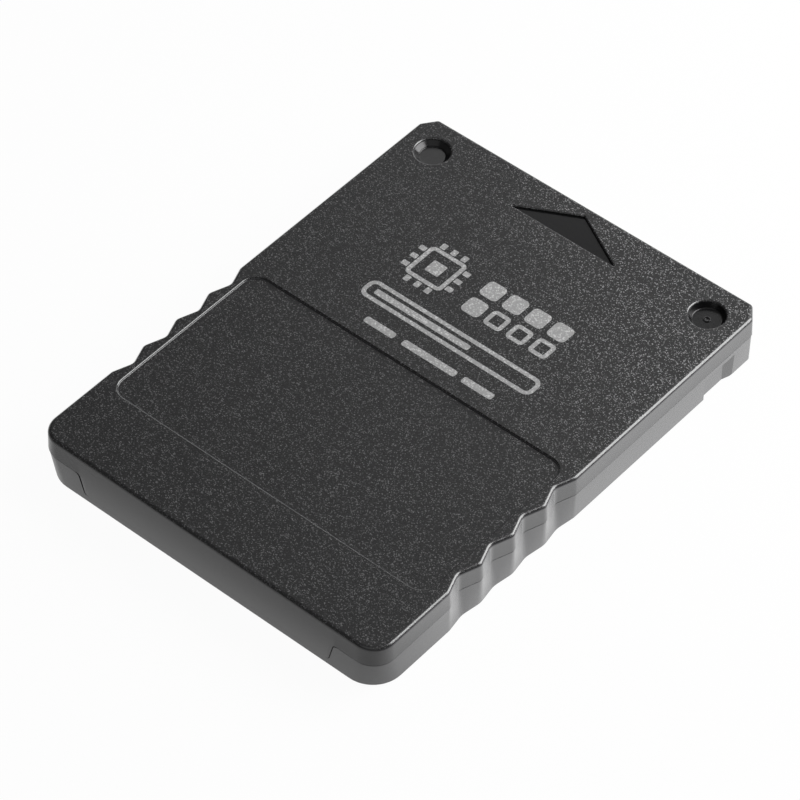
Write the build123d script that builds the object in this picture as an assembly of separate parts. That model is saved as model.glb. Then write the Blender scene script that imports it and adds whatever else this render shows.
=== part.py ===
from build123d import *
import os
from math import acos, atan2, cos, hypot, pi, radians, sin, tan

# Card envelope in millimetres: X across, Y towards the contacts, Z up, origin under the middle
card_length = 55.0
card_width = 40.8
card_thickness = 5.5
parting_height = 3.2
rear_corner_radius = 2.4
rear_foot_radius = 3.3
front_chamfer_width = 1.2
front_chamfer_length = 1.6
front_corner_round = 0.6
top_edge_break = 0.3
bottom_edge_break = 0.1
cover_draft = 2.0
case_draft = 1.0
case_inset = 0.06

# Finger grooves along both sides, which fade towards the underside
groove_count = 4
groove_pitch = 4.45
groove_depth = 0.7
groove_turn_radius = 0.9
groove_foot_depth = 0.3
groove_foot_turn_radius = 2.5
groove_rear_margin = 9.7

# Walls of the two mouldings, and the lip that lines them up
side_wall = 1.2
roof_thickness = 1.1
floor_thickness = 1.1
skirt_wall = 0.55
lip_corner_radius = 2.0
lip_height = 0.8
lip_clearance = 0.05
snap_length = 6.0
snap_width = 0.4
snap_height = 0.15
snap_rear_margin = 5.0
snap_front_margin = 18.0

# Rear skirt of the cover, which hides the joint on the grip end
skirt_width = 29.4
skirt_lean = 15.0
skirt_bottom = 0.85
skirt_flare = 0.5
skirt_corner_radius = 0.4

# Shallow field for a sticker
label_length = 19.7
label_width = 37.6
label_corner_radius = 1.6
label_depth = 0.2
label_rear_margin = 8.1

# Insertion arrow
arrow_length = 3.4
arrow_width = 12.6
arrow_depth = 0.25
arrow_front_margin = 1.25

# Tapered dimples at the front corners
dimple_top_diameter = 3.6
dimple_floor_diameter = 3.0
dimple_depth = 0.7
dimple_side_margin = 3.65
dimple_front_margin = 3.9
gate_diameter = 0.8
gate_height = 0.1

# Latch notches in the lower half of the plug end
notch_length = 3.2
notch_ramp = 1.4
notch_depth = 0.5
notch_height = 2.7
notch_front_margin = 3.95
notch_edge_radius = 0.15
lead_in_length = 1.2
lead_in_height = 0.9

# Contact windows, open to the front and to the underside
pad_groups = (3, 2, 3)
pad_pitch = 3.1
pad_width = 2.0
pad_length = 7.0
pad_thickness = 0.06
pad_front_gap = 0.5
window_width = 9.6
window_length = 9.2
rib_width = 2.0

# Circuit board and the posts that hold it
board_standoff = 0.9
board_thickness = 0.8
board_side_gap = 0.4
board_end_gap = 0.15
board_corner_radius = 1.0
post_diameter = 3.4
post_side_margin = 5.6
post_rear_margin = 6.0
pin_diameter = 1.6
pin_clearance = 0.03
pin_end_gap = 0.2
post_floor = 0.6
board_hole_clearance = 0.1
hold_down_clearance = 0.05
hold_down_width = 1.2
hold_down_length = 6.0

# Memory chip, a flat package with leads at its two ends
memory_length = 18.4
memory_width = 12.0
memory_height = 1.0
memory_lead_count = 24
memory_side_offset = -4.0
memory_rear_margin = 15.5

# Controller chip, a square package with leads on four sides
controller_width = 7.0
controller_height = 1.2
controller_lead_count = 12
controller_edge_gap = 5.9
controller_window_gap = 14.5

# Leads and bodies shared by the packages
lead_pitch = 0.5
lead_width = 0.22
lead_thickness = 0.15
lead_shoulder = 0.2
lead_slope = 0.25
lead_foot = 0.45
package_standoff = 0.1
package_draft = 8.0
package_mark = 0.8

# Voltage regulator
regulator_length = 2.9
regulator_width = 1.3
regulator_height = 0.9
regulator_lead_pitch = 0.95
regulator_lead_width = 0.4
regulator_side_offset = -11.0
regulator_window_gap = 11.5

# Clock crystal
crystal_length = 5.0
crystal_width = 3.2
crystal_base_height = 0.7
crystal_lid_height = 0.35
crystal_lid_inset = 0.3
crystal_side_offset = -1.5
crystal_window_gap = 15.0

# Capacitors and resistors
capacitor_length = 2.0
capacitor_width = 1.25
capacitor_height = 0.9
capacitor_cap = 0.4
capacitor_count = 4
capacitor_pitch = 3.2
capacitor_window_gap = 7.5
resistor_length = 1.6
resistor_width = 0.8
resistor_height = 0.45
resistor_cap = 0.3
resistor_window_gap = 1.5

# How near two places are taken to be the same
same_place = 0.001

# Levels and edges worked out from the sizes above
side_edge = card_width / 2
front_edge = card_length / 2
rear_edge = -card_length / 2
roof_inside = card_thickness - roof_thickness
board_bottom = floor_thickness + board_standoff
board_top = board_bottom + board_thickness
groove_rear = rear_edge + groove_rear_margin
window_rear = front_edge - window_length
window_pitch = window_width + rib_width
lip_inset = skirt_wall + lip_clearance
post_x = side_edge - post_side_margin
post_y = rear_edge + post_rear_margin
dimple_x = side_edge - dimple_side_margin
dimple_y = front_edge - dimple_front_margin
liner_side = side_edge - groove_depth
board_half_width = liner_side - side_wall - board_side_gap
board_front = front_edge - side_wall - board_end_gap
board_rear = rear_edge + side_wall + board_side_gap
snap_y = (rear_edge + snap_rear_margin, front_edge - snap_front_margin)
snap_level = parting_height + lip_height / 2


def at(height):
    """Returns the level plane at a height."""
    return Plane((0, 0, height))


def card_plan(inset, depth, turn, corner):
    """Returns the plan with these grooves and rear corners, every edge moved inwards by inset."""
    side = side_edge - inset
    rear = rear_edge + inset
    front = front_edge - inset
    shrink = front_chamfer_width + front_chamfer_length - hypot(front_chamfer_width, front_chamfer_length)
    chamfer_x = side - front_chamfer_width + inset * shrink / front_chamfer_length
    chamfer_y = front - front_chamfer_length + inset * shrink / front_chamfer_width
    half_pitch = groove_pitch / 2
    reach = 2 * turn - depth
    flank = atan2(half_pitch, reach) - acos(2 * turn / hypot(reach, half_pitch))
    crest_x = side - (turn - inset) * (1 - cos(flank))
    crest_y = (turn - inset) * sin(flank)
    valley_x = side - depth + (turn + inset) * (1 - cos(flank))
    valley_y = (turn + inset) * sin(flank)
    edges = [Line((0, rear), (side, rear)), Line((side, rear), (side, groove_rear))]
    edges += [TangentArc((side, groove_rear), (crest_x, groove_rear + crest_y), tangent=(0, 1))]
    for index in range(groove_count):
        valley = groove_rear + (index + 0.5) * groove_pitch
        start = (valley_x, valley - valley_y)
        end = (valley_x, valley + valley_y)
        edges += [Line((crest_x, valley - half_pitch + crest_y), start)]
        edges += [ThreePointArc(start, (side - depth, valley), end)]
        crest = valley + half_pitch
        edges += [Line(end, (crest_x, crest - crest_y))]
        if index < groove_count - 1:
            edges += [ThreePointArc((crest_x, crest - crest_y), (side, crest), (crest_x, crest + crest_y))]
    groove_front = groove_rear + groove_count * groove_pitch
    edges += [TangentArc((side, groove_front), (crest_x, groove_front - crest_y), tangent=(0, -1))]
    edges += [Line((side, groove_front), (side, chamfer_y))]
    edges += [Line((side, chamfer_y), (chamfer_x, front))]
    edges += [Line((chamfer_x, front), (0, front))]
    half = Curve() + edges
    plan = make_face(half + mirror(half, about=Plane.YZ))
    corners = [vertex for vertex in plan.vertices() if abs(vertex.X) > same_place]
    rear_corners = [vertex for vertex in corners if vertex.Y < rear + same_place]
    plan = fillet(rear_corners, corner - inset)
    if front_corner_round > inset:
        corners = [vertex for vertex in plan.vertices() if abs(vertex.X) > same_place]
        front_corners = [vertex for vertex in corners if vertex.Y > chamfer_y - same_place]
        plan = fillet(front_corners, front_corner_round - inset)
    return plan


def liner_plan(inset):
    """Returns the plain plan of what lies inside the walls, inset from the grooves' floors and both ends."""
    corner = lip_corner_radius + lip_inset - inset
    return RectangleRounded(2 * (liner_side - inset), card_length - 2 * inset, corner)


def snap_beads(grow):
    """Returns the ridges on the lip's long sides, grown all round by grow."""
    root = liner_side - lip_inset
    tip = root + snap_height + grow
    half = snap_width / 2 + grow
    corners = [(root, snap_level - half), (tip, snap_level), (root, snap_level + half)]
    profile = Polygon(*corners, align=None)
    beads = []
    for y in snap_y:
        bead = extrude(Plane.XZ.offset(-y) * profile, amount=snap_length / 2 + grow, both=True)
        beads += [bead, mirror(bead, about=Plane.YZ)]
    return beads


def rear_skirt(grow):
    """Returns the skirt over the rear wall, with leaning, flared ends, grown all round by grow."""
    lean = radians(skirt_lean)
    half = skirt_width / 2
    shoulder = half + (parting_height - skirt_bottom) * tan(lean)
    flare_run = skirt_flare * tan(pi / 4 - lean / 2)
    corner_run = skirt_corner_radius * tan(pi / 4 - lean / 2)
    flare_start = (shoulder + flare_run, parting_height)
    flare_end = (shoulder - flare_run * sin(lean), parting_height - flare_run * cos(lean))
    corner_start = (half + corner_run * sin(lean), skirt_bottom + corner_run * cos(lean))
    corner_end = (half - corner_run, skirt_bottom)
    edges = [Line((0, parting_height), flare_start)]
    edges += [TangentArc(flare_start, flare_end, tangent=(-1, 0))]
    edges += [Line(flare_end, corner_start)]
    edges += [TangentArc(corner_start, corner_end, tangent=(-sin(lean), -cos(lean)))]
    edges += [Line(corner_end, (0, skirt_bottom))]
    side = Curve() + edges
    profile = make_face(side + mirror(side, about=Plane.YZ))
    if grow > 0:
        profile = offset(profile, amount=grow)
    rear_plane = Plane((0, rear_edge, 0), x_dir=(1, 0, 0), z_dir=(0, -1, 0))
    return extrude(rear_plane * profile, amount=-skirt_wall - grow)


def post_places():
    """Returns the places where a pin of the cover stands in a post of the case."""
    return [Pos(x, post_y) for x in (-post_x, post_x)]


def window_centres():
    """Returns the X of the middle of each contact window."""
    return [(index - (len(pad_groups) - 1) / 2) * window_pitch for index in range(len(pad_groups))]


def rib_centres():
    """Returns the X of each rib between two contact windows."""
    return [x + window_pitch / 2 for x in window_centres()[:-1]]


def pad_centres():
    """Returns the X of each contact pad, group by group."""
    places = []
    for centre, count in zip(window_centres(), pad_groups):
        places += [centre + (index - (count - 1) / 2) * pad_pitch for index in range(count)]
    return places


def top_cover():
    """Returns the upper moulding: roof, side walls, rear skirt and the pins that hold the board."""
    height = card_thickness - parting_height
    plan = card_plan(0, groove_depth, groove_turn_radius, rear_corner_radius)
    cover = extrude(at(parting_height) * plan, amount=height, taper=cover_draft)
    cover = chamfer(cover.faces().sort_by(Axis.Z)[-1].edges(), top_edge_break)
    cover += rear_skirt(0)
    cover -= extrude(at(parting_height) * liner_plan(side_wall), amount=height - roof_thickness)
    cover -= extrude(at(parting_height) * liner_plan(skirt_wall), amount=lip_height + lip_clearance)
    for groove in snap_beads(lip_clearance):
        cover -= groove

    label = RectangleRounded(label_width, label_length, label_corner_radius)
    label_y = rear_edge + label_rear_margin + label_length / 2
    cover -= extrude(at(card_thickness) * Pos(0, label_y) * label, amount=-label_depth)

    arrow_tip = front_edge - arrow_front_margin
    arrow_base = arrow_tip - arrow_length
    corners = [(-arrow_width / 2, arrow_base), (arrow_width / 2, arrow_base), (0, arrow_tip)]
    cover -= extrude(at(card_thickness) * Polygon(*corners, align=None), amount=-arrow_depth)

    dimple_floor = card_thickness - dimple_depth
    for x in (-dimple_x, dimple_x):
        place = Pos(x, dimple_y)
        mouth = at(card_thickness) * place * Circle(dimple_top_diameter / 2)
        floor = at(dimple_floor) * place * Circle(dimple_floor_diameter / 2)
        cover -= loft([mouth, floor])
    gate = Pos(dimple_x, dimple_y) * Circle(gate_diameter / 2)
    cover += extrude(at(dimple_floor) * gate, amount=gate_height)

    shoulder_end = board_top + hold_down_clearance
    pin_end = post_floor + pin_end_gap
    for place in post_places():
        shoulder = place * Circle(post_diameter / 2)
        pin = place * Circle(pin_diameter / 2)
        cover += extrude(at(shoulder_end) * shoulder, amount=roof_inside - shoulder_end)
        cover += extrude(at(pin_end) * pin, amount=roof_inside - pin_end)
    hold_down = Rectangle(hold_down_width, hold_down_length)
    for x in rib_centres():
        place = Pos(x, (window_rear + board_front) / 2)
        cover += extrude(at(shoulder_end) * place * hold_down, amount=roof_inside - shoulder_end)
    return cover


def latch_notch():
    """Returns the cutter for the right-hand latch notch: a round rear edge, and a ramp towards the front."""
    outer = side_edge + notch_depth
    inner = side_edge - notch_depth
    wall = side_edge - case_inset
    ramp_front = front_edge - notch_front_margin
    flat_front = ramp_front - notch_ramp
    flat_rear = flat_front - notch_length
    round_start = (wall, flat_rear - notch_edge_radius)
    round_end = (wall - notch_edge_radius, flat_rear)
    corners = [round_end, (inner, flat_rear), (inner, flat_front), (side_edge, ramp_front)]
    corners += [(outer, ramp_front), (outer, flat_rear - notch_edge_radius), round_start]
    edges = [Line(start, end) for start, end in zip(corners, corners[1:])]
    edges += [TangentArc(round_start, round_end, tangent=(0, 1))]
    return extrude(make_face(Curve() + edges), amount=notch_height, dir=(0, 0, 1))


def lead_in():
    """Returns the cutter that slopes the plug's lower front edge."""
    corners = [(front_edge, lead_in_height), (front_edge - lead_in_length, 0), (front_edge, 0)]
    return extrude(Plane.YZ * Polygon(*corners, align=None), amount=card_width / 2, both=True)


def bottom_case():
    """Returns the lower moulding: floor, side walls, lip, latch notches, contact well and posts."""
    foot_inset = case_inset + (parting_height - bottom_edge_break) * tan(radians(case_draft))
    foot_sizes = (groove_foot_depth, groove_foot_turn_radius, rear_foot_radius)
    base = card_plan(foot_inset + bottom_edge_break, *foot_sizes)
    foot = at(bottom_edge_break) * card_plan(foot_inset, *foot_sizes)
    joint = at(parting_height) * card_plan(case_inset, groove_depth, groove_turn_radius, rear_corner_radius)
    case = loft([base, foot, joint], ruled=True)
    case -= lead_in()
    notch = latch_notch()
    case -= notch
    case -= mirror(notch, about=Plane.YZ)

    case += extrude(at(parting_height) * liner_plan(lip_inset), amount=lip_height)
    for bead in snap_beads(0):
        case += bead
    inside = liner_plan(side_wall)
    case -= extrude(at(floor_thickness) * inside, amount=parting_height + lip_height - floor_thickness)
    case -= rear_skirt(lip_clearance)

    well_width = 2 * liner_side - side_wall
    well_rear = window_rear - rib_width
    well_front = front_edge - side_wall
    well = Pos(0, (well_rear + well_front) / 2) * Rectangle(well_width, well_front - well_rear)
    case += extrude(at(floor_thickness) * well, amount=board_standoff)
    for x in window_centres():
        window = Pos(x, front_edge) * Rectangle(window_width, 2 * window_length)
        case -= extrude(window, amount=board_bottom)
    bore_radius = pin_diameter / 2 + pin_clearance
    for place in post_places():
        case += extrude(at(floor_thickness) * place * Circle(post_diameter / 2), amount=board_standoff)
        case -= extrude(at(post_floor) * place * Circle(bore_radius), amount=board_bottom - post_floor)
    return case


def circuit_board():
    """Returns the board, with a hole for each pin of the cover."""
    length = board_front - board_rear
    board = Pos(0, (board_front + board_rear) / 2)
    board = board * RectangleRounded(2 * board_half_width, length, board_corner_radius)
    for place in post_places():
        board -= place * Circle(pin_diameter / 2 + board_hole_clearance)
    return extrude(at(board_bottom) * board, amount=board_thickness)


def contact_pads():
    """Returns the plated pads on the board's underside."""
    y = board_front - pad_front_gap - pad_length / 2
    pad = Rectangle(pad_width, pad_length)
    return [extrude(at(board_bottom) * Pos(x, y) * pad, amount=-pad_thickness) for x in pad_centres()]


def chip_plan(length, width):
    """Returns the plan of a chip's body, with the corner at its first lead cut off."""
    plan = Rectangle(length, width)
    return chamfer(plan.vertices().sort_by(Axis.X)[0], package_mark)


def package_body(plan, height):
    """Returns a moulded body over the board, widest where its leads come out."""
    middle = board_top + package_standoff + height / 2
    half = (height - lead_thickness) / 2
    upper_start = middle + lead_thickness / 2
    lower_start = middle - lead_thickness / 2
    body = extrude(at(lower_start) * plan, amount=lead_thickness)
    body += extrude(at(upper_start) * plan, amount=half, taper=package_draft)
    body += extrude(at(lower_start) * plan, amount=half, dir=(0, 0, -1), taper=package_draft)
    return body


def gull_lead(height, width):
    """Returns one bent lead that leaves a body of this height along +X and stands on the board."""
    exit_level = board_top + package_standoff + (height + lead_thickness) / 2
    foot_level = board_top + lead_thickness
    foot_start = lead_shoulder + lead_slope
    corners = [(0, exit_level), (lead_shoulder, exit_level), (foot_start, foot_level)]
    corners += [(foot_start + lead_foot, foot_level)]
    strip = offset(Polyline(*corners), amount=lead_thickness, kind=Kind.INTERSECTION, side=Side.RIGHT)
    return extrude(Plane.XZ * make_face(strip), amount=width / 2, both=True)


def lead_row(count, pitch, reach, height, width):
    """Returns a row of leads along Y on the +X side of a body that reaches that far."""
    lead = gull_lead(height, width)
    return [Pos(reach, (index - (count - 1) / 2) * pitch) * lead for index in range(count)]


def turned(rows, angles):
    """Returns copies of solids turned about Z by each angle."""
    return [Rot(0, 0, angle) * solid for angle in angles for solid in rows]


def memory_chip():
    """Returns the memory chip's body and its leads."""
    place = Pos(memory_side_offset, rear_edge + memory_rear_margin)
    body = package_body(chip_plan(memory_length, memory_width), memory_height)
    row = lead_row(memory_lead_count, lead_pitch, memory_length / 2, memory_height, lead_width)
    return place * body, [place * lead for lead in turned(row, (0, 180))]


def controller_chip():
    """Returns the controller chip's body and its leads."""
    x = board_half_width - controller_edge_gap - controller_width / 2
    place = Pos(x, window_rear - controller_window_gap)
    body = package_body(chip_plan(controller_width, controller_width), controller_height)
    row = lead_row(controller_lead_count, lead_pitch, controller_width / 2, controller_height, lead_width)
    return place * body, [place * lead for lead in turned(row, (0, 90, 180, 270))]


def voltage_regulator():
    """Returns the regulator's body and its three leads."""
    place = Pos(regulator_side_offset, window_rear - regulator_window_gap)
    body = package_body(Rectangle(regulator_width, regulator_length), regulator_height)
    sizes = (regulator_width / 2, regulator_height, regulator_lead_width)
    pair = lead_row(2, 2 * regulator_lead_pitch, *sizes)
    single = turned(lead_row(1, regulator_lead_pitch, *sizes), (180,))
    return place * body, [place * lead for lead in pair + single]


def clock_crystal():
    """Returns the crystal's ceramic base and its metal lid."""
    place = Pos(crystal_side_offset, window_rear - crystal_window_gap)
    base_plan = place * Rectangle(crystal_length, crystal_width)
    base = extrude(at(board_top) * base_plan, amount=crystal_base_height)
    lid_length = crystal_length - 2 * crystal_lid_inset
    lid_width = crystal_width - 2 * crystal_lid_inset
    lid_plan = place * Rectangle(lid_length, lid_width)
    lid_level = board_top + crystal_base_height
    return base, extrude(at(lid_level) * lid_plan, amount=crystal_lid_height)


def end_capped(length, width, height, cap):
    """Returns a surface-mounted block along Y and its two tinned ends, at the board's middle."""
    body = extrude(at(board_top) * Rectangle(width, length - 2 * cap), amount=height)
    end = extrude(at(board_top) * Pos(0, (length - cap) / 2) * Rectangle(width, cap), amount=height)
    return body, turned([end], (0, 180))


def spread(block, places):
    """Returns the bodies and the ends of a block repeated at each place."""
    body, ends = block
    return [place * body for place in places], [place * end for place in places for end in ends]


def capacitors():
    """Returns the capacitors' bodies and ends, in a row behind the resistors."""
    y = window_rear - capacitor_window_gap
    first = -(capacitor_count - 1) / 2 * capacitor_pitch
    places = [Pos(first + index * capacitor_pitch, y) for index in range(capacitor_count)]
    return spread(end_capped(capacitor_length, capacitor_width, capacitor_height, capacitor_cap), places)


def resistors():
    """Returns the resistors' bodies and ends, one behind each contact pad."""
    y = window_rear - resistor_window_gap
    places = [Pos(x, y) for x in pad_centres()]
    return spread(end_capped(resistor_length, resistor_width, resistor_height, resistor_cap), places)


def save(name, *solids):
    """Writes one node: a single solid, or a group of separate solids."""
    shape = solids[0] if len(solids) == 1 else Compound(children=list(solids))
    export_step(shape, f"parts/{name}.step")


def main():
    """Builds every piece and writes one file for each node."""
    os.makedirs("parts", exist_ok=True)
    save("top_cover", top_cover())
    save("bottom_case", bottom_case())
    save("circuit_board", circuit_board())
    save("contact_pads", *contact_pads())
    memory_body, memory_leads = memory_chip()
    save("memory_chip_body", memory_body)
    save("memory_chip_leads", *memory_leads)
    controller_body, controller_leads = controller_chip()
    save("controller_chip_body", controller_body)
    save("controller_chip_leads", *controller_leads)
    regulator_body, regulator_leads = voltage_regulator()
    save("regulator_body", regulator_body)
    save("regulator_leads", *regulator_leads)
    crystal_base, crystal_lid = clock_crystal()
    save("crystal_base", crystal_base)
    save("crystal_lid", crystal_lid)
    capacitor_bodies, capacitor_ends = capacitors()
    save("capacitor_bodies", *capacitor_bodies)
    save("capacitor_ends", *capacitor_ends)
    resistor_bodies, resistor_ends = resistors()
    save("resistor_bodies", *resistor_bodies)
    save("resistor_ends", *resistor_ends)


main()
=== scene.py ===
"""Looks of a console memory card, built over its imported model.

Sizes are in millimetres until a mesh is written, which is in metres. X runs across the card,
Y towards its contacts and Z up, as in the model.
"""

import logging
from dataclasses import dataclass, field
from enum import Enum, IntEnum

import bmesh
import bpy
import numpy as np
from mathutils import Matrix
from mathutils.geometry import tessellate_polygon


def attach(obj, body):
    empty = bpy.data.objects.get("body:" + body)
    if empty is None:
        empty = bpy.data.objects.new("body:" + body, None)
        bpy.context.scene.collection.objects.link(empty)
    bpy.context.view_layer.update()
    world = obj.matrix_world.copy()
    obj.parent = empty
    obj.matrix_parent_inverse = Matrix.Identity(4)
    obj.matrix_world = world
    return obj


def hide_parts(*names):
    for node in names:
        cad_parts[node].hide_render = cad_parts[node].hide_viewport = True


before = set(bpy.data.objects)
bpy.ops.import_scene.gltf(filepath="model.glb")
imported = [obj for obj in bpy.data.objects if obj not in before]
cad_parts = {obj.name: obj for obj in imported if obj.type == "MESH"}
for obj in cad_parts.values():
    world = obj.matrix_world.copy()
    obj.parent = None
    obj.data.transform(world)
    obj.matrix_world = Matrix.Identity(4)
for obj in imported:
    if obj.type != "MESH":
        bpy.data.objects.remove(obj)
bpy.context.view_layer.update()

MM = 0.001
WHOLE = (0.0, 1.0)
JOIN_REACH = 0.0002
BODY = "root"
LOG = logging.getLogger("memory_card")


def linear(code: str) -> tuple[float, float, float, float]:
    """Turns an sRGB colour into linear light.

    Args:
        code: a hash and six hex digits.

    Returns:
        Linear red, green and blue, and an alpha of one.
    """
    srgb = np.array([int(code[start:start + 2], 16) for start in (1, 3, 5)]) / 255.0
    light = np.where(srgb <= 0.04045, srgb / 12.92, ((srgb + 0.055) / 1.055) ** 2.4)
    return (*light.tolist(), 1.0)


def per_metre(size: float) -> float:
    """Gives the texture scale at which one cell is this many millimetres wide."""
    return 1.0 / (size * MM)


def add_node(tree: bpy.types.NodeTree, kind: str, inputs: dict, **settings: object) -> bpy.types.Node:
    """Adds one node with its settings, values and links.

    Args:
        tree: the node tree that takes the node.
        kind: the node's type name.
        inputs: a value, or a socket to link from, for each input by its name or number.
        settings: the node's own attributes.

    Returns:
        The new node.
    """
    node = tree.nodes.new(kind)
    for name, value in settings.items():
        setattr(node, name, value)
    for socket, value in inputs.items():
        if isinstance(value, bpy.types.NodeSocket):
            tree.links.new(value, node.inputs[socket])
        else:
            node.inputs[socket].default_value = value
    return node


def remap(tree: bpy.types.NodeTree, value: bpy.types.NodeSocket, reach: tuple[float, float],
          levels: tuple[float, float], **settings: object) -> bpy.types.NodeSocket:
    """Maps one range of a value to another.

    Args:
        tree: the node tree that takes the node.
        value: the value to map.
        reach: the range that is mapped.
        levels: what its two ends become.
        settings: the node's own attributes.

    Returns:
        The mapped value.
    """
    inputs = {"Value": value, "From Min": reach[0], "From Max": reach[1], "To Min": levels[0], "To Max": levels[1]}
    return add_node(tree, "ShaderNodeMapRange", inputs, **settings).outputs["Result"]


def combine(tree: bpy.types.NodeTree, operation: str, first: object, second: object) -> bpy.types.NodeSocket:
    """Joins two values by a sum that Blender names, such as MULTIPLY or MAXIMUM."""
    return add_node(tree, "ShaderNodeMath", {0: first, 1: second}, operation=operation).outputs[0]


def blend(tree: bpy.types.NodeTree, share: bpy.types.NodeSocket, first: object,
          second: object) -> bpy.types.NodeSocket:
    """Mixes two colours, with the second one's share."""
    return add_node(tree, "ShaderNodeMix", {0: share, 6: first, 7: second}, data_type="RGBA").outputs[2]


def unit(vectors: np.ndarray) -> np.ndarray:
    """Divides each vector by its length."""
    return vectors / np.linalg.norm(vectors, axis=-1, keepdims=True)


def arc(centre: tuple[float, float], radius: float, start: float, end: float, count: int) -> np.ndarray:
    """Gives points round part of a circle: the centre plus the radius along each angle.

    Args:
        centre: the circle's middle.
        radius: its radius.
        start: the first angle in degrees.
        end: the last angle in degrees.
        count: how many points, both ends included.

    Returns:
        An array of count points in plan.
    """
    angles = np.radians(np.linspace(start, end, count))
    return np.asarray(centre) + radius * np.column_stack([np.cos(angles), np.sin(angles)])


@dataclass(frozen=True)
class Loop:
    """A closed path in plan, anticlockwise, with no point given twice."""

    points: np.ndarray

    @classmethod
    def rounded(cls, corners: list[tuple[float, float]], radius: float, count: int = 9) -> "Loop":
        """Rounds each corner of a polygon by a circle that touches both its sides.

        The circle's middle lies on the corner's bisector, at the radius over the sine of half the
        corner's angle, and its points turn from one side's outward normal to the next one's.

        Args:
            corners: the polygon's corners, anticlockwise.
            radius: the radius at each corner.
            count: points at each corner.

        Returns:
            The rounded path.
        """
        here = np.asarray(corners, float)
        to_last = unit(np.roll(here, 1, axis=0) - here)
        to_next = unit(np.roll(here, -1, axis=0) - here)
        half = np.arccos(np.clip((to_last * to_next).sum(axis=1), -1.0, 1.0)) / 2.0
        middle = here + unit(to_last + to_next) * (radius / np.sin(half))[:, None]
        first = np.arctan2(to_last[:, 0], -to_last[:, 1])
        angles = first[:, None] + (np.pi - 2.0 * half)[:, None] * np.linspace(0.0, 1.0, count)
        spread = np.stack([np.cos(angles), np.sin(angles)], axis=-1)
        return cls((middle[:, None] + radius * spread).reshape(-1, 2))

    @classmethod
    def box(cls, centre: tuple[float, float], size: tuple[float, float], radius: float) -> "Loop":
        """Gives a rectangle with rounded corners, from its middle and its two sides."""
        across, along = size[0] / 2.0, size[1] / 2.0
        corners = [(-across, -along), (across, -along), (across, along), (-across, along)]
        return cls.rounded([(centre[0] + x, centre[1] + y) for x, y in corners], radius)

    @classmethod
    def circle(cls, centre: tuple[float, float], radius: float, count: int = 72) -> "Loop":
        """Gives a whole circle."""
        return cls(arc(centre, radius, 0.0, 360.0, count + 1)[:-1])

    def mitres(self) -> np.ndarray:
        """Gives the outward step at each point that moves both its sides by one.

        It is the sum of the two sides' normals over one plus their dot product.
        """
        along = unit(np.roll(self.points, -1, axis=0) - self.points)
        normal = np.column_stack([along[:, 1], -along[:, 0]])
        before = np.roll(normal, 1, axis=0)
        return (before + normal) / (1.0 + (before * normal).sum(axis=1))[:, None]

    def carry(self, insets: np.ndarray, heights: np.ndarray) -> np.ndarray:
        """Carries a profile round the path: each point steps inwards and takes a height.

        Args:
            insets: the step inwards of each row, or of each row and point.
            heights: the height of each row, or of each row and point.

        Returns:
            Rings of points, one for each row of the profile.
        """
        inward = np.broadcast_to(insets if insets.ndim == 2 else insets[:, None],
                                 (len(insets), len(self.points)))
        height = np.broadcast_to(heights if heights.ndim == 2 else heights[:, None], inward.shape)
        plan = self.points[None] - inward[..., None] * self.mitres()[None]
        return np.concatenate([plan, height[..., None]], axis=-1)


@dataclass
class Skin:
    """Surfaces that meet edge to edge, gathered into one closed mesh."""

    name: str
    points: list[np.ndarray] = field(default_factory=list)
    faces: list[list[int]] = field(default_factory=list)
    finishes: list[int] = field(default_factory=list)
    count: int = 0

    def take(self, points: np.ndarray, faces: list[list[int]], finish: int) -> None:
        """Keeps points, and faces that number them from this skin's first point."""
        self.points.append(points)
        self.faces.extend(faces)
        self.finishes.extend([finish] * len(faces))
        self.count += len(points)

    def rings(self, rings: np.ndarray, finish: int = 0, closed: bool = False) -> None:
        """Adds the four-sided faces between each ring and the next.

        Args:
            rings: points by ring and by place round the ring.
            finish: the number of the material.
            closed: whether the last ring also joins the first.
        """
        rows, columns = rings.shape[:2]
        index = self.count + np.arange(rows * columns).reshape(rows, columns)
        index = np.vstack([index, index[:1]]) if closed else index
        turned = np.roll(index, -1, axis=1)
        quads = np.stack([index[:-1], turned[:-1], turned[1:], index[1:]], axis=-1)
        self.take(rings.reshape(-1, 3), quads.reshape(-1, 4).tolist(), finish)

    def cap(self, ring: np.ndarray, finish: int = 0) -> None:
        """Closes a flat ring with one face."""
        self.take(ring, [(self.count + np.arange(len(ring))).tolist()], finish)

    def fill(self, loops: list[np.ndarray], finish: int = 0) -> None:
        """Fills the flat area inside the first ring and outside the others with triangles."""
        triangles = np.array(tessellate_polygon([loop.tolist() for loop in loops]))
        self.take(np.concatenate(loops), (self.count + triangles).tolist(), finish)

    def build(self, materials: list[bpy.types.Material], sharp: float = 40.0) -> bpy.types.Object:
        """Writes the mesh, joins its seams, turns its faces outwards and smooths it.

        Args:
            materials: the finishes, in the order of their numbers.
            sharp: the angle in degrees past which an edge stays sharp.

        Returns:
            The new object, at the origin.
        """
        mesh = bpy.data.meshes.new(self.name)
        mesh.from_pydata(np.concatenate(self.points) * MM, [], self.faces)
        mesh.polygons.foreach_set("material_index", np.array(self.finishes, np.int32))
        shape = bmesh.new()
        shape.from_mesh(mesh)
        bmesh.ops.remove_doubles(shape, verts=shape.verts, dist=JOIN_REACH * MM)
        bmesh.ops.recalc_face_normals(shape, faces=shape.faces)
        shape.to_mesh(mesh)
        shape.free()
        mesh.polygons.foreach_set("use_smooth", np.ones(len(mesh.polygons), bool))
        mesh.set_sharp_from_angle(angle=np.radians(sharp))
        for material in materials:
            mesh.materials.append(material)
        piece = bpy.data.objects.new(self.name, mesh)
        bpy.context.scene.collection.objects.link(piece)
        return piece


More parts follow.
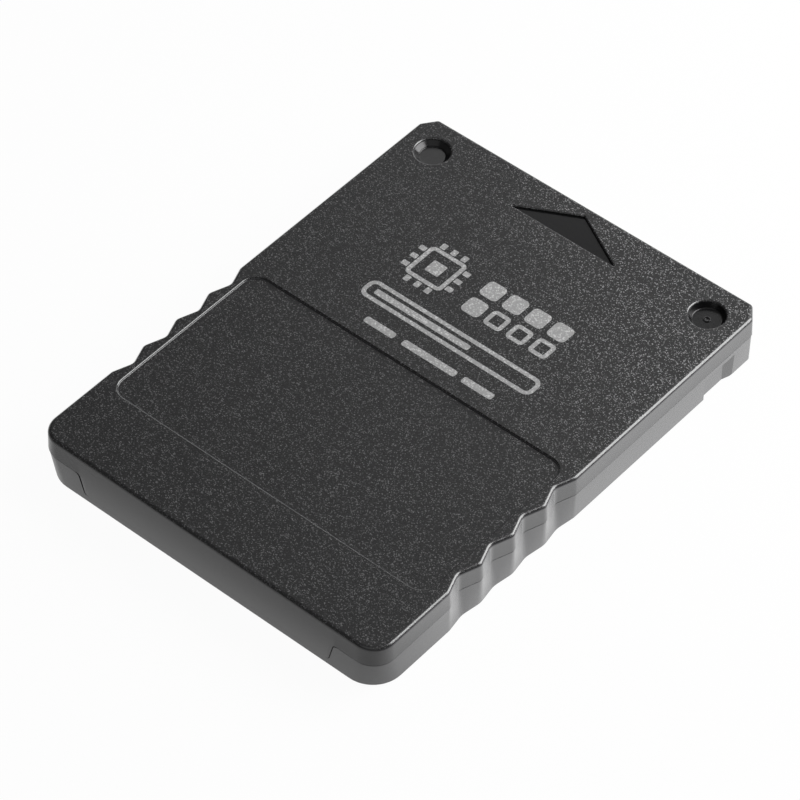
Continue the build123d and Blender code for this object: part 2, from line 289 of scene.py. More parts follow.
@dataclass(frozen=True)
class Finish:
    """A surface finish: its name, colour and gloss, and the size of its pattern."""

    name: str
    colour: str
    second: str
    roughness: float
    spread: float
    grain: float
    relief: float
    metallic: float = 0.0
    ior: float = 1.5
    specular: float = 0.5
    coat: float = 0.0
    detail: float = 3.0

    def material(self) -> bpy.types.Material:
        """Builds the material, with constants on the shader's own sockets.

        Returns:
            The material, with its pattern added by dress.
        """
        material = bpy.data.materials.new(self.name)
        material.use_nodes = True
        tree = material.node_tree
        shader = tree.nodes["Principled BSDF"]
        shader.inputs["Metallic"].default_value = self.metallic
        shader.inputs["IOR"].default_value = self.ior
        shader.inputs["Specular IOR Level"].default_value = self.specular
        shader.inputs["Coat Weight"].default_value = self.coat
        shader.inputs["Coat Roughness"].default_value = self.roughness
        shader.inputs["Coat IOR"].default_value = self.ior
        material.diffuse_color = linear(self.colour)
        place = add_node(tree, "ShaderNodeTexCoord", {})
        self.dress(tree, shader, place.outputs["Object"])
        return material

    def dress(self, tree: bpy.types.NodeTree, shader: bpy.types.Node, place: bpy.types.NodeSocket) -> None:
        """Adds a fine noise that shifts the colour and gloss and raises the surface.

        Args:
            tree: the material's nodes.
            shader: the shader that takes the pattern.
            place: where on the piece a point lies.
        """
        noise = {"Vector": place, "Scale": per_metre(self.grain), "Detail": self.detail}
        grain = add_node(tree, "ShaderNodeTexNoise", noise).outputs["Fac"]
        tint = blend(tree, grain, linear(self.colour), linear(self.second))
        self.connect(tree, shader, tint, grain, grain)

    def connect(self, tree: bpy.types.NodeTree, shader: bpy.types.Node, tint: bpy.types.NodeSocket,
                gloss: bpy.types.NodeSocket, height: bpy.types.NodeSocket) -> None:
        """Joins a pattern to the shader.

        Args:
            tree: the material's nodes.
            shader: the shader that takes the pattern.
            tint: the colour.
            gloss: where in its spread the roughness lies.
            height: the relief, as a share of the finish's own.
        """
        levels = (self.roughness - self.spread, self.roughness + self.spread)
        bump = add_node(tree, "ShaderNodeBump", {"Height": height, "Distance": self.relief * MM})
        tree.links.new(tint, shader.inputs["Base Color"])
        tree.links.new(remap(tree, gloss, WHOLE, levels), shader.inputs["Roughness"])
        tree.links.new(bump.outputs["Normal"], shader.inputs["Normal"])


@dataclass(frozen=True)
class SparkGrain(Finish):
    """Plastic moulded in a spark-eroded cavity: a pebbled skin whose tops catch the light, shown as painted glints
    in bright specks.
    """

    speck: str = "#8a8a8a"
    speck_size: float = 0.3
    speck_share: float = 0.3
    painted_glint_gain: tuple[float, float] = (1.0, 1.0)
    gain_reach: tuple[float, float] = (6.0, 24.0)
    gain_way: tuple[float, float, float] = (0.7, 0.7, 0.0)
    pebble_detail: float = 1.5
    pebble_roughness: float = 0.6
    cloud_size: float = 9.0
    cloud_detail: float = 2.0

    def dress(self, tree: bpy.types.NodeTree, shader: bpy.types.Node, place: bpy.types.NodeSocket) -> None:
        """Adds the pebbles, the bright specks on some of them and a slow change of gloss.

        The specks are painted glints, which gain strength along the diagonal towards the plug's right corner,
        nearer the key lamp.

        Args:
            tree: the material's nodes.
            shader: the shader that takes the pattern.
            place: where on the piece a point lies.
        """
        pebble = {"Vector": place, "Scale": per_metre(self.grain), "Detail": self.pebble_detail,
                  "Roughness": self.pebble_roughness}
        pebbles = add_node(tree, "ShaderNodeTexNoise", pebble).outputs["Fac"]
        cell = {"Vector": place, "Scale": per_metre(self.speck_size)}
        cells = add_node(tree, "ShaderNodeTexVoronoi", cell)
        chance = add_node(tree, "ShaderNodeSeparateColor", {"Color": cells.outputs["Color"]})
        slow = {"Vector": place, "Scale": per_metre(self.cloud_size), "Detail": self.cloud_detail}
        cloud = add_node(tree, "ShaderNodeTexNoise", slow)
        # painted glints: a bright colour on a share of the pebble cells
        speck = remap(tree, chance.outputs[0], (1.0 - self.speck_share, 1.0), WHOLE,
                      interpolation_type="SMOOTHSTEP")
        body = blend(tree, pebbles, linear(self.colour), linear(self.second))
        # painted glints grow stronger towards the plug's right corner, nearer the key lamp
        along = add_node(tree, "ShaderNodeVectorMath", {0: place, 1: self.gain_way}, operation="DOT_PRODUCT")
        reach = (self.gain_reach[0] * MM, self.gain_reach[1] * MM)
        gain = remap(tree, along.outputs["Value"], reach, self.painted_glint_gain)
        tint = blend(tree, combine(tree, "MULTIPLY", speck, gain), body, linear(self.speck))
        self.connect(tree, shader, tint, cloud.outputs["Fac"], pebbles)


# Black ABS from a spark-eroded cavity: near-black, and greyed all over by painted glints on its pebbles
GRAINED_ABS = SparkGrain("ABS_moulded_spark_eroded", "#161617", "#1e1e1f", 0.5, 0.05, 0.2, 0.03, ior=1.5,
                         speck="#9c9c9d", speck_size=0.085, speck_share=0.2, painted_glint_gain=(0.45, 1.1))
# The grain where it thins out over an edge: glossier, so that the edge takes a bright broken line, with painted
# glints in its specks
EDGE_ABS = SparkGrain("ABS_moulded_grain_edge", "#161617", "#1e1e1f", 0.24, 0.05, 0.12, 0.012,
                      ior=1.6, coat=1.0, speck="#5a5a5b", speck_size=0.1, speck_share=0.25)
# The same ABS from a stoned cavity: the sides, whose closed resin skin mirrors the floor, painted paler than the
# face to stand in for the light on the sides
SATIN_ABS_PAINTED_PALER = Finish("ABS_moulded_satin", "#2e2e30", "#343436", 0.22, 0.03, 0.5, 0.002, ior=1.7, coat=1.0)
# The lower moulding's ABS: as the sides, and painted a shade paler to stand in for the brighter light on the lower
# half of the sides
CASE_ABS_PAINTED_PALER = Finish("ABS_case_satin_painted_paler", "#3c3c3e", "#424244", 0.24, 0.03, 0.35, 0.003, ior=1.7, coat=1.0)
# The same ABS off a burnished insert: the arrow, smooth and darker than the face
ARROW_ABS = Finish("ABS_moulded_burnished", "#111112", "#141415", 0.22, 0.03, 0.4, 0.002, specular=0.28)
# The same ABS off a milled insert: the dimples, smooth and dark
SUNK_ABS = Finish("ABS_moulded_smooth", "#111112", "#141415", 0.22, 0.03, 0.4, 0.002, specular=0.6)
# Pad-printed ink: a thin grey film that leaves pinholes over the grain's pits, with painted glints in its pale
# specks
PRINT_INK = SparkGrain("Ink_pad_printed", "#969696", "#a6a6a6", 0.6, 0.05, 0.2, 0.02,
                       speck="#cfcfcf", speck_size=0.13, speck_share=0.4)
# Glass-epoxy under green solder resist: glossy, with the weave just showing through
SOLDER_RESIST = Finish("Laminate_solder_resist", "#0f3d22", "#15512e", 0.3, 0.06, 0.7, 0.01)
# Copper plated with hard gold: warm metal, wiped by the slot's springs
HARD_GOLD = Finish("Copper_gold_plated", "#d9a441", "#e8bd66", 0.28, 0.08, 0.4, 0.004, metallic=1.0)
# Filled epoxy moulded round a chip: flat black, finely gritty
CHIP_RESIN = Finish("Epoxy_moulded", "#1b1b1d", "#262629", 0.6, 0.06, 0.15, 0.01)
# Tin-plated copper: pale and a little dull
TIN_PLATE = Finish("Copper_tin_plated", "#c4c5c3", "#d7d8d6", 0.32, 0.08, 0.2, 0.003, metallic=1.0)
# Fired brown ceramic of the crystal's base
FIRED_CERAMIC = Finish("Ceramic_fired_dark", "#4a3d35", "#57493f", 0.55, 0.05, 0.2, 0.005)
# Nickel-plated lid of the crystal
NICKEL_LID = Finish("Kovar_nickel_plated", "#cbc5b8", "#d8d3c8", 0.25, 0.06, 0.3, 0.003, metallic=1.0)
# Fired tan ceramic of the capacitors
TAN_CERAMIC = Finish("Ceramic_fired_tan", "#a67c52", "#b98d60", 0.5, 0.05, 0.2, 0.004)
# Glazed black face of the resistors
GLAZED_CERAMIC = Finish("Ceramic_glazed_black", "#1e1f22", "#2a2c30", 0.35, 0.05, 0.2, 0.003)


class Side(IntEnum):
    """The finishes of the cover, by the number of their material."""

    GRAIN = 0
    # SATIN: the sides' finish, painted paler than the face to stand in for their light
    SATIN = 1
    SUNK = 2
    EDGE = 3
    ARROW = 4


@dataclass
class CardPlan:
    """The card seen from above: its outline and the plain plan inside its walls."""

    length: float = 55.0
    width: float = 40.8
    rear_radius: float = 2.4
    front_chamfer: tuple[float, float] = (1.2, 1.6)
    front_round: float = 0.6
    groove_count: int = 4
    groove_pitch: float = 4.45
    groove_depth: float = 0.7
    groove_turn: float = 0.9
    groove_rear_margin: float = 9.7
    skirt_start: float = 14.3
    skirt_end: float = 15.8
    plain_start: float = 1.0
    rear_steps: tuple[float, float, float] = (0.2, 0.3, 0.1)

    REAR_POINTS = (10, 41, 5)
    SIDE_POINTS = (8, 161, 30)
    CORNER_POINTS = 25
    ROUND_POINTS = 9
    END_POINTS = 16

    @property
    def side(self) -> float:
        """Half the width."""
        return self.width / 2.0

    @property
    def front(self) -> float:
        """The Y of the front edge."""
        return self.length / 2.0

    def groove(self, along: np.ndarray) -> np.ndarray:
        """Gives how far the finger grooves sink the side at each Y.

        Each groove has two straight flanks. An arc rounds its floor and one of the same radius each
        crest, and the flanks lean at the angle at which they touch both arcs.

        Args:
            along: the Y of each point.

        Returns:
            The depth at each point, nought outside the grooves.
        """
        radius, half = self.groove_turn, self.groove_pitch / 2.0
        reach = 2.0 * radius - self.groove_depth
        lean = np.arctan2(half, reach) - np.arccos(2.0 * radius / np.hypot(reach, half))
        turn = radius * np.sin(lean)
        start = -self.front + self.groove_rear_margin
        turns = (along - start) / self.groove_pitch
        from_middle = np.abs(np.mod(turns, 1.0) - 0.5) * self.groove_pitch
        from_crest = half - from_middle
        hollow = self.groove_depth - radius + np.sqrt(radius ** 2 - np.minimum(from_middle, turn) ** 2)
        crest = radius - np.sqrt(radius ** 2 - np.minimum(from_crest, turn) ** 2)
        flank = radius * (1.0 - np.cos(lean)) + (from_crest - turn) * np.tan(lean)
        inside = (turns > 0.0) & (turns < self.groove_count)
        depth = np.where(from_middle < turn, hollow, np.where(from_crest < turn, crest, flank))
        return np.where(inside, depth, 0.0)

    def outline(self) -> Loop:
        """Gives the outline: rounded rear corners, grooved sides and cut front corners.

        Returns:
            The path, whose left half mirrors its right half.
        """
        side, front, rear_inner = self.side, self.front, self.side - self.rear_radius
        across, along = self.front_chamfer
        turn = np.arctan2(across, along)
        before, after, last = self.rear_steps
        rear_x = np.concatenate([np.linspace(0.0, self.skirt_start - before, self.REAR_POINTS[0]),
                                 np.linspace(self.skirt_start, self.skirt_end, self.REAR_POINTS[1]),
                                 np.linspace(self.skirt_end + after, rear_inner - last, self.REAR_POINTS[2])])
        rear = np.column_stack([rear_x, np.full_like(rear_x, -front)])
        corner = arc((rear_inner, self.rear_radius - front), self.rear_radius, -90.0, 0.0, self.CORNER_POINTS)
        edge_end = front - along - self.front_round * np.tan(turn / 2.0)
        front_end = side - across - self.front_round * np.tan(np.pi / 4.0 - turn / 2.0)
        grooves = -front + self.groove_rear_margin
        run = np.linspace(0.0, 1.0, self.SIDE_POINTS[1]) * self.groove_pitch * self.groove_count
        edge_y = np.concatenate([np.linspace(-front + self.rear_radius, grooves, self.SIDE_POINTS[0])[1:-1],
                                 run + grooves, np.linspace(self.plain_start, edge_end, self.SIDE_POINTS[2])[:-1]])
        edge = np.column_stack([side - self.groove(edge_y), edge_y])
        first = arc((side - self.front_round, edge_end), self.front_round, 0.0, np.degrees(turn),
                    self.ROUND_POINTS)
        second = arc((front_end, front - self.front_round), self.front_round, np.degrees(turn), 90.0,
                     self.ROUND_POINTS)
        front_x = np.linspace(front_end, 0.0, self.END_POINTS)[1:]
        end = np.column_stack([front_x, np.full_like(front_x, front)])
        right = np.concatenate([rear, corner, edge, first, second, end])
        return Loop(np.concatenate([right, right[-2:0:-1] * np.array([-1.0, 1.0])]))

    def liner(self, inset: float, corner: float) -> np.ndarray:
        """Gives, for each point of the outline, the nearest point of the plain plan inside the walls.

        The point is held within the plan's straight sides and then moved out by the corner radius.

        Args:
            inset: the wall from the grooves' floors and from both ends.
            corner: the radius of the plain plan's corners.

        Returns:
            One point in plan for each point of the outline.
        """
        points = self.outline().points
        core = np.array([self.side - self.groove_depth - inset - corner, self.front - inset - corner])
        held = np.clip(points, -core, core)
        return held + corner * unit(points - held)


@dataclass
class Recess:
    """A hollow sunk in the cover's face: a rounded rim, a wall that leans in and a rounded floor edge."""

    path: Loop
    depth: float
    rim: float
    floor_round: float
    lean: float = 0.0
    guard: float = 0.05

    RIM_ROWS = 8
    GRAIN_ROWS = 3

    def rings(self, top: float) -> np.ndarray:
        """Carries the hollow's profile round its path, from the face down to the floor.

        The rim turns a quarter circle from level to upright, and the floor's edge turns one back.

        Args:
            top: the height of the face.

        Returns:
            Rings from the flat face round the rim to the flat floor.
        """
        turn = np.linspace(0.0, np.pi / 2.0, self.RIM_ROWS - 1)
        rim = np.column_stack([-self.rim * (1.0 - np.sin(turn)), -self.rim * (1.0 - np.cos(turn))])
        foot = np.column_stack([self.lean + self.floor_round * (1.0 - np.cos(turn)),
                                self.floor_round * (1.0 - np.sin(turn)) - self.depth])
        start = [[-self.rim - self.guard, 0.0]]
        end = [[self.lean + self.floor_round + self.guard, -self.depth]]
        profile = np.concatenate([start, rim, foot, end])
        return self.path.carry(profile[:, 0], profile[:, 1] + top)


@dataclass
class TopCover:
    """The upper moulding: grained face, satin sides, sticker field, arrow, dimples and rear skirt."""

    plan: CardPlan
    top: float = 5.5
    parting: float = 3.2
    roof_inside: float = 4.4
    lip_top: float = 4.05
    skirt_half: float = 14.62
    skirt_lean: float = 15.0
    skirt_bottom: float = 0.95
    skirt_flare: float = 0.5
    skirt_corner: float = 0.4
    draft: float = 2.0
    edge: float = 0.4
    lower_edge: float = 0.05
    joint_gap: float = 0.12
    skirt_play: float = 0.12
    wall: float = 1.2
    skirt_wall: float = 0.55
    liner_corner: float = 2.05
    label_size: tuple[float, float] = (37.6, 19.7)
    label_rear_margin: float = 8.1
    label_depth: float = 0.2
    label_corner: float = 1.6
    arrow_size: tuple[float, float] = (12.6, 3.4)
    arrow_front_margin: float = 1.25
    arrow_depth: float = 0.25
    dimple_radius: float = 1.77
    dimple_leans: tuple[float, float] = (0.42, 0.27)
    dimple_depth: float = 0.7
    dimple_place: tuple[float, float] = (16.75, 23.6)
    grain_rows: int = 4
    edge_rows: int = 8
    gate_radius: float = 0.4
    gate_height: float = 0.08
    label_rounds: tuple[float, float] = (0.15, 0.04)
    arrow_rounds: tuple[float, float] = (0.14, 0.03)
    arrow_corner: float = 0.04
    dimple_rounds: tuple[float, float] = (0.2, 0.12)
    face_margin: float = 0.08

    EDGE_TURNS = 13
    GATE_POINTS = 32
    GATE_RADII = (1.0, 0.95, 0.8, 0.6, 0.5, 0.25, 0.1)
    GATE_HEIGHTS = (0.0, 0.75, 1.0, 0.9, 0.1, -0.2, -0.3)

    def lower_level(self, points: np.ndarray) -> np.ndarray:
        """Gives the cover's lower edge: the joint's height, stepping down to the rear skirt.

        From outside in, the edge turns down round the flare's arc, runs down the leaning end of the
        skirt and turns into the skirt's level foot round the corner's arc.

        Args:
            points: the outline's points.

        Returns:
            The height of the edge at each point.
        """
        lean = np.radians(self.skirt_lean)
        half_turn = np.tan(np.pi / 4.0 - lean / 2.0)
        shoulder = self.skirt_half + (self.parting - self.skirt_bottom) * np.tan(lean)
        flare_run, corner_run = self.skirt_flare * half_turn, self.skirt_corner * half_turn
        shifted = np.abs(points[:, 0] - self.skirt_play)
        across = np.where(points[:, 1] < 0.0, shifted, self.plan.side)
        into_flare = np.clip(shoulder + flare_run - across, 0.0, self.skirt_flare)
        into_corner = np.clip(across - self.skirt_half + corner_run, 0.0, self.skirt_corner)
        flare = self.parting - self.skirt_flare + np.sqrt(self.skirt_flare ** 2 - into_flare ** 2)
        corner = self.skirt_bottom + self.skirt_corner - np.sqrt(self.skirt_corner ** 2 - into_corner ** 2)
        slope = self.skirt_bottom + (across - self.skirt_half) / np.tan(lean)
        on_flare = across > shoulder - flare_run * np.sin(lean)
        on_corner = across < self.skirt_half + corner_run * np.sin(lean)
        level = np.where(on_flare, flare, np.where(on_corner, corner, slope))
        return level + self.joint_gap * (level - self.skirt_bottom) / (self.parting - self.skirt_bottom)

    def inner_rings(self, low: np.ndarray) -> np.ndarray:
        """Gives the rings inside the walls, from the roof's inside down to the lower edge.

        Args:
            low: the height of the lower edge at each point.

        Returns:
            Rings round the cavity, the step for the case's lip and the skirt's inside.
        """
        wide = self.plan.liner(self.skirt_wall, self.liner_corner)
        narrow = self.plan.liner(self.wall, self.liner_corner - self.wall + self.skirt_wall)
        level = np.ones(len(wide))
        lip = level * self.lip_top
        rows = [(narrow, level * self.roof_inside), (narrow, lip), (wide, lip), (wide, low)]
        return np.stack([np.column_stack([plan, height]) for plan, height in rows])

    def outer_rings(self, outline: Loop, low: np.ndarray) -> np.ndarray:
        """Gives the rings of the outside: lower edge, leaning wall and the rounded edge of the face.

        Above the joint the wall leans in by the draft, and both edges turn a quarter circle.

        Args:
            outline: the card's outline.
            low: the height of the lower edge at each point.

        Returns:
            Rings from the lower edge up to the flat face.
        """
        turn = np.linspace(0.0, np.pi / 2.0, self.EDGE_TURNS)[:, None]
        ones = np.ones_like(low)
        slope = np.tan(np.radians(self.draft))
        wall_top = self.top - self.edge
        foot_inset = self.lower_edge * (1.0 - np.sin(turn)) * ones
        foot_height = low + self.lower_edge * (1.0 - np.cos(turn))
        start = np.maximum(low + 2.0 * self.lower_edge, self.parting + 2.0 * self.lower_edge)[None]
        edge_inset = (slope * (wall_top - self.parting) + self.edge * (1.0 - np.cos(turn))) * ones
        edge_height = (wall_top + self.edge * np.sin(turn)) * ones
        insets = np.concatenate([foot_inset, slope * (start - self.parting), edge_inset,
                                 edge_inset[-1:] + self.face_margin])
        heights = np.concatenate([foot_height, start, edge_height, edge_height[-1:]])
        return outline.carry(insets, heights)

    def recesses(self) -> list[tuple[Recess, Side]]:
        """Lists the sunk places of the face, each with the finish of its wall and floor."""
        label_y = -self.plan.front + self.label_rear_margin + self.label_size[1] / 2.0
        label = Loop.box((0.0, label_y), self.label_size, self.label_corner)
        tip = self.plan.front - self.arrow_front_margin
        half = self.arrow_size[0] / 2.0
        base = tip - self.arrow_size[1]
        arrow = Loop.rounded([(-half, base), (half, base), (0.0, tip)], self.arrow_corner)
        across, along = self.dimple_place
        dimples = [Loop.circle((side * across, along), self.dimple_radius) for side in (-1.0, 1.0)]
        return [(Recess(label, self.label_depth, *self.label_rounds), Side.GRAIN),
                (Recess(arrow, self.arrow_depth, *self.arrow_rounds), Side.ARROW),
                *[(Recess(path, self.dimple_depth, *self.dimple_rounds, lean), Side.SUNK)
                  for path, lean in zip(dimples, self.dimple_leans)]]

    def gate_mark(self) -> np.ndarray:
        """Gives the rings of the stub left by the mould's gate in the right dimple, with a broken middle.

        Its profile is a low rounded rim round a shallow pit, turned about the dimple's middle.
        """
        radius = self.gate_radius * np.array(self.GATE_RADII)
        height = self.gate_height * np.array(self.GATE_HEIGHTS)
        path = Loop.circle(self.dimple_place, 1.0, self.GATE_POINTS)
        return path.carry(1.0 - radius, height + self.top - self.dimple_depth)

    def build(self) -> bpy.types.Object:
        """Builds the cover as one closed skin that stands for its node.

        Returns:
            The cover.
        """
        skin = Skin("cover_moulding")
        outline = self.plan.outline()
        low = self.lower_level(outline.points)
        inner = self.inner_rings(low)
        outer = self.outer_rings(outline, low)
        skin.cap(inner[0], Side.SATIN)
        skin.rings(inner, Side.SATIN)
        skin.rings(np.stack([inner[-1], outer[0]]), Side.SATIN)
        skin.rings(outer[:-self.edge_rows], Side.SATIN)
        skin.rings(outer[-self.edge_rows - 1:-self.grain_rows], Side.EDGE)
        skin.rings(outer[-self.grain_rows - 1:], Side.GRAIN)
        holes = []
        sunk = self.recesses()
        for recess, finish in sunk:
            rings = recess.rings(self.top)
            skin.rings(rings[:Recess.GRAIN_ROWS], Side.GRAIN)
            skin.rings(rings[Recess.GRAIN_ROWS - 1:Recess.RIM_ROWS], Side.EDGE)
            skin.rings(rings[Recess.RIM_ROWS - 1:], Side.SATIN if finish == Side.GRAIN else finish)
            holes.append(rings[0])
            last = rings[-1]
            if recess is sunk[-1][0]:
                gate = self.gate_mark()
                skin.rings(gate, finish)
                skin.cap(gate[-1], finish)
                skin.fill([last, gate[0]], finish)
            else:
                skin.cap(last, finish)
        skin.fill([outer[-1], *holes], Side.GRAIN)
        finishes = (GRAINED_ABS, SATIN_ABS_PAINTED_PALER, SUNK_ABS, EDGE_ABS, ARROW_ABS)
        piece = skin.build([finish.material() for finish in finishes])
        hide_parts("top_cover")
        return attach(piece, BODY)


@dataclass
class BottomCase:
    """The lower moulding: the node's own form, joined at its seams and smoothed."""

    sharp: float = 14.0

    def build(self) -> bpy.types.Object:
        """Joins a copy of the node's loose triangles and gives it its finish.

        Returns:
            The case.
        """
        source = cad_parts["bottom_case"].data
        points = np.empty(len(source.vertices) * 3)
        source.vertices.foreach_get("co", points)
        corners = np.empty(len(source.loops), np.int32)
        source.loops.foreach_get("vertex_index", corners)
        skin = Skin("case_moulding")
        skin.take(points.reshape(-1, 3) / MM, corners.reshape(-1, 3).tolist(), 0)
        piece = skin.build([CASE_ABS_PAINTED_PALER.material()], self.sharp)
        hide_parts("bottom_case")
        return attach(piece, BODY)


@dataclass
class CoverPrint:
    """Plain grey marks on the face: a chip, blocks of memory and a gauge, as thin films of ink."""

    top: float = 5.5
    film: float = 0.012
    stroke: float = 0.45
    chip_place: tuple[float, float] = (-6.2, 11.7)
    chip_size: float = 4.4
    pin_count: int = 3
    pin_size: tuple[float, float] = (0.6, 0.75)
    block_size: float = 2.1
    block_gap: float = 0.6
    chip_corner: float = 0.6
    core_share: float = 0.36
    core_corner: float = 0.12
    pin_pitch_share: float = 0.29
    pin_gap: float = 0.12
    pin_corner: float = 0.1
    block_start: tuple[float, float] = (-0.2, 12.9)
    block_corner: float = 0.5
    block_columns: int = 4
    block_count: int = 8
    block_filled: int = 5
    gauge_place: tuple[float, float] = (0.5, 5.8)
    gauge_size: tuple[float, float] = (20.6, 2.4)
    gauge_corner: float = 0.9
    filled_place: tuple[float, float] = (-2.9, 5.8)
    filled_size: tuple[float, float] = (11.4, 0.7)
    filled_corner: float = 0.2
    dash_row: float = 2.5
    dash_width: float = 0.8
    dash_corner: float = 0.25

    DASHES = ((-5.2, 3.6), (0.8, 6.4), (6.6, 3.6))

    def plate(self, skin: Skin, path: Loop) -> None:
        """Adds a solid mark: a low wall round the path, closed above and below."""
        rings = path.carry(np.zeros(2), np.array([self.top - self.film, self.top + self.film]))
        skin.rings(rings)
        skin.cap(rings[0])
        skin.cap(rings[1])

    def band(self, skin: Skin, path: Loop) -> None:
        """Adds an outlined mark: a flat bar carried round the path."""
        low, high = self.top - self.film, self.top + self.film
        insets = np.array([0.0, 0.0, self.stroke, self.stroke])
        skin.rings(path.carry(insets, np.array([low, high, high, low])), closed=True)

    def chip(self, skin: Skin) -> None:
        """Adds the chip: an outlined square, a solid middle and pins on four sides."""
        across, along = self.chip_place
        core = self.chip_size * self.core_share
        self.band(skin, Loop.box(self.chip_place, (self.chip_size, self.chip_size), self.chip_corner))
        self.plate(skin, Loop.box(self.chip_place, (core, core), self.core_corner))
        steps = (np.arange(self.pin_count) - (self.pin_count - 1) / 2.0) * self.chip_size * self.pin_pitch_share
        reach = self.chip_size / 2.0 + self.pin_size[1] / 2.0 + self.pin_gap
        for step in steps:
            for side in (-1.0, 1.0):
                upright, level = (across + step, along + side * reach), (across + side * reach, along + step)
                self.plate(skin, Loop.box(upright, self.pin_size, self.pin_corner))
                self.plate(skin, Loop.box(level, self.pin_size[::-1], self.pin_corner))

    def blocks(self, skin: Skin) -> None:
        """Adds two rows of memory blocks, the filled ones solid and the free ones outlined."""
        pitch = self.block_size + self.block_gap
        for index in range(self.block_count):
            row, column = divmod(index, self.block_columns)
            place = (self.block_start[0] + column * pitch, self.block_start[1] - row * pitch)
            path = Loop.box(place, (self.block_size, self.block_size), self.block_corner)
            if index < self.block_filled:
                self.plate(skin, path)
            else:
                self.band(skin, path)

    def gauge(self, skin: Skin) -> None:
        """Adds a long outlined gauge with a filled part, and a row of dashes under it."""
        self.band(skin, Loop.box(self.gauge_place, self.gauge_size, self.gauge_corner))
        self.plate(skin, Loop.box(self.filled_place, self.filled_size, self.filled_corner))
        for middle, length in self.DASHES:
            self.plate(skin, Loop.box((middle, self.dash_row), (length, self.dash_width), self.dash_corner))

    def build(self) -> bpy.types.Object:
        """Builds every mark as one piece on the cover's face.

        Returns:
            The print.
        """
        skin = Skin("cover_print")
        self.chip(skin)
        self.blocks(skin)
        self.gauge(skin)
        piece = skin.build([PRINT_INK.material()])
        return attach(piece, BODY)


@dataclass
class BoardParts:
    """The circuit board and what is soldered to it, which keep the model's own forms."""

    finishes: dict[str, Finish] = field(default_factory=lambda: {
        "circuit_board": SOLDER_RESIST,
        "contact_pads": HARD_GOLD,
        "memory_chip_body": CHIP_RESIN,
        "memory_chip_leads": TIN_PLATE,
        "controller_chip_body": CHIP_RESIN,
        "controller_chip_leads": TIN_PLATE,
        "regulator_body": CHIP_RESIN,
        "regulator_leads": TIN_PLATE,
        "crystal_base": FIRED_CERAMIC,
        "crystal_lid": NICKEL_LID,
        "capacitor_bodies": TAN_CERAMIC,
        "capacitor_ends": TIN_PLATE,
        "resistor_bodies": GLAZED_CERAMIC,
        "resistor_ends": TIN_PLATE,
    })

    def dress(self) -> list[bpy.types.Object]:
        """Gives each node its finish, one material for each kind.

        Returns:
            The dressed nodes.
        """
        made = {finish.name: finish.material() for finish in set(self.finishes.values())}
        dressed = []
        for name, finish in self.finishes.items():
            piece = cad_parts[name]
            piece.data.materials.clear()
            piece.data.materials.append(made[finish.name])
            dressed.append(piece)
        return dressed


class Lamp(Enum):
    """The lamps: degrees from +X towards +Y, degrees above the floor, millimetres away and wide, and watts."""

    KEY = (52.0, 36.0, 230.0, 200.0, 0.68)
    BACK = (118.0, 24.0, 420.0, 300.0, 0.35)
    FILL = (-60.0, 60.0, 420.0, 400.0, 0.12)


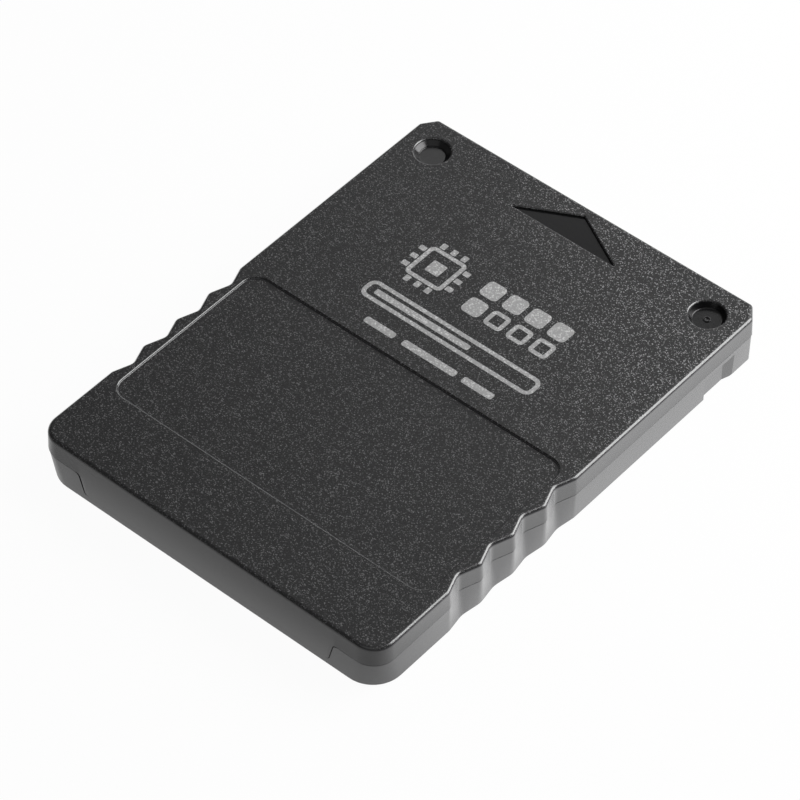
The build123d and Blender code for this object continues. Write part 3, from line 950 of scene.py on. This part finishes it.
@dataclass
class Studio:
    """Lamps, floor and surroundings of a plain white studio."""

    floor_size: float = 4000.0
    surround: float = 0.1
    whiten: float = 0.96
    fade_right: tuple[float, float] = (26.0, 46.0)
    fade_rear: tuple[float, float] = (-14.0, -31.0)
    faded: tuple[float, float] = (0.25, 0.34)
    floor_drop: float = 0.02
    floor_colour: str = "#f2f2f2"
    floor_roughness: float = 0.9
    white: str = "#ffffff"

    def lamp(self, kind: Lamp) -> bpy.types.Object:
        """Adds a square soft lamp that faces the card.

        Args:
            kind: which lamp.

        Returns:
            The lamp.
        """
        turn, rise = np.radians(kind.value[:2])
        away, size, power = kind.value[2:]
        back = np.array([np.cos(turn) * np.cos(rise), np.sin(turn) * np.cos(rise), np.sin(rise)])
        right = unit(np.cross([0.0, 0.0, 1.0], back))
        axes = np.column_stack([right, np.cross(back, right), back])
        data = bpy.data.lights.new(f"lamp_{kind.name.lower()}", "AREA")
        data.energy = power
        data.size = size * MM
        lamp = bpy.data.objects.new(data.name, data)
        lamp.matrix_world = Matrix.Translation(back * away * MM) @ Matrix(axes.tolist()).to_4x4()
        bpy.context.scene.collection.objects.link(lamp)
        return lamp

    def floor(self) -> bpy.types.Object:
        """Lays a white floor under the card, which the camera sees near white with a faint shadow.

        Mirrored in the card, the floor glows white beside it, a painted pool of light that fades to the right and
        to the rear.

        Returns:
            The floor.
        """
        half = self.floor_size / 2.0
        skin = Skin("studio_floor")
        low = -self.floor_drop
        skin.cap(np.array([[-half, -half, low], [half, -half, low], [half, half, low], [-half, half, low]]))
        material = bpy.data.materials.new("Floor_painted_white")
        material.use_nodes = True
        tree = material.node_tree
        shader = tree.nodes["Principled BSDF"]
        shader.inputs["Base Color"].default_value = linear(self.floor_colour)
        shader.inputs["Roughness"].default_value = self.floor_roughness
        rays = add_node(tree, "ShaderNodeLightPath", {})
        seen = rays.outputs["Is Camera Ray"]
        mirrored = combine(tree, "MAXIMUM", rays.outputs["Is Glossy Ray"], rays.outputs["Is Transmission Ray"])
        place = add_node(tree, "ShaderNodeTexCoord", {})
        axes = add_node(tree, "ShaderNodeSeparateXYZ", {"Vector": place.outputs["Object"]})
        # painted pool of light: the floor's glow in reflections fades to the right and to the rear
        fades = [remap(tree, axes.outputs[axis], (start * MM, end * MM), (1.0, low))
                 for axis, (start, end), low in zip("XY", (self.fade_right, self.fade_rear), self.faded)]
        level = combine(tree, "MAXIMUM", seen, combine(tree, "MULTIPLY", *fades))
        white = add_node(tree, "ShaderNodeEmission", {"Color": linear(self.white), "Strength": level})
        share = combine(tree, "MAXIMUM", mirrored, combine(tree, "MULTIPLY", seen, self.whiten))
        mixed = add_node(tree, "ShaderNodeMixShader", {0: share, 1: shader.outputs[0], 2: white.outputs[0]})
        tree.links.new(mixed.outputs[0], tree.nodes["Material Output"].inputs["Surface"])
        piece = skin.build([material])
        return piece

    def surroundings(self) -> None:
        """Sets a grey room that the camera sees as white."""
        world = bpy.data.worlds.new("studio_room")
        bpy.context.scene.world = world
        world.use_nodes = True
        tree = world.node_tree
        room = tree.nodes["Background"]
        room.inputs["Color"].default_value = linear(self.white)
        rays = add_node(tree, "ShaderNodeLightPath", {})
        level = remap(tree, rays.outputs["Is Camera Ray"], WHOLE, (self.surround, 1.0))
        tree.links.new(level, room.inputs["Strength"])

    def build(self) -> None:
        """Sets up the room, the floor and the lamps."""
        self.surroundings()
        self.floor()
        for kind in Lamp:
            self.lamp(kind)


@dataclass
class Viewpoint:
    """The camera at the photograph's viewing angle."""

    azimuth: float = 40.68
    elevation: float = 47.334
    distance: float = 376.274
    focal: float = 4059.385
    centre: tuple[float, float] = (404.914, 409.609)
    image: float = 800.0
    sensor: float = 36.0
    nearest: float = 10.0

    def build(self) -> bpy.types.Object:
        """Places the camera so that the card's origin falls at the wanted pixel.

        Returns:
            The scene's camera.
        """
        turn, rise = np.radians([self.azimuth, self.elevation])
        ahead = -np.array([np.sin(turn) * np.cos(rise), -np.cos(turn) * np.cos(rise), np.sin(rise)])
        right = unit(np.cross(ahead, [0.0, 0.0, 1.0]))
        down = np.cross(ahead, right)
        offset = (np.asarray(self.centre) - self.image / 2.0) / self.focal * self.distance
        place = -(right * offset[0] + down * offset[1] + ahead * self.distance) * MM
        data = bpy.data.cameras.new("photo_camera")
        data.sensor_width = self.sensor
        data.lens = self.focal / self.image * self.sensor
        data.clip_start = self.nearest * MM
        camera = bpy.data.objects.new("photo_camera", data)
        axes = np.column_stack([right, -down, -ahead])
        camera.matrix_world = Matrix.Translation(place) @ Matrix(axes.tolist()).to_4x4()
        bpy.context.scene.collection.objects.link(camera)
        bpy.context.scene.camera = camera
        return camera


def main() -> None:
    """Builds the studio and every piece of the card, and logs each piece."""
    logging.basicConfig(level=logging.INFO, format="%(name)s: %(message)s")
    bpy.context.scene.view_settings.view_transform = "Standard"
    Viewpoint().build()
    Studio().build()
    pieces = [TopCover(CardPlan()).build(), BottomCase().build(), CoverPrint().build()]
    pieces += BoardParts().dress()
    for piece in pieces:
        LOG.info("%s: %d faces, %s", piece.name, len(piece.data.polygons),
                 ", ".join(material.name for material in piece.data.materials))


if __name__ == "__main__":
    main()
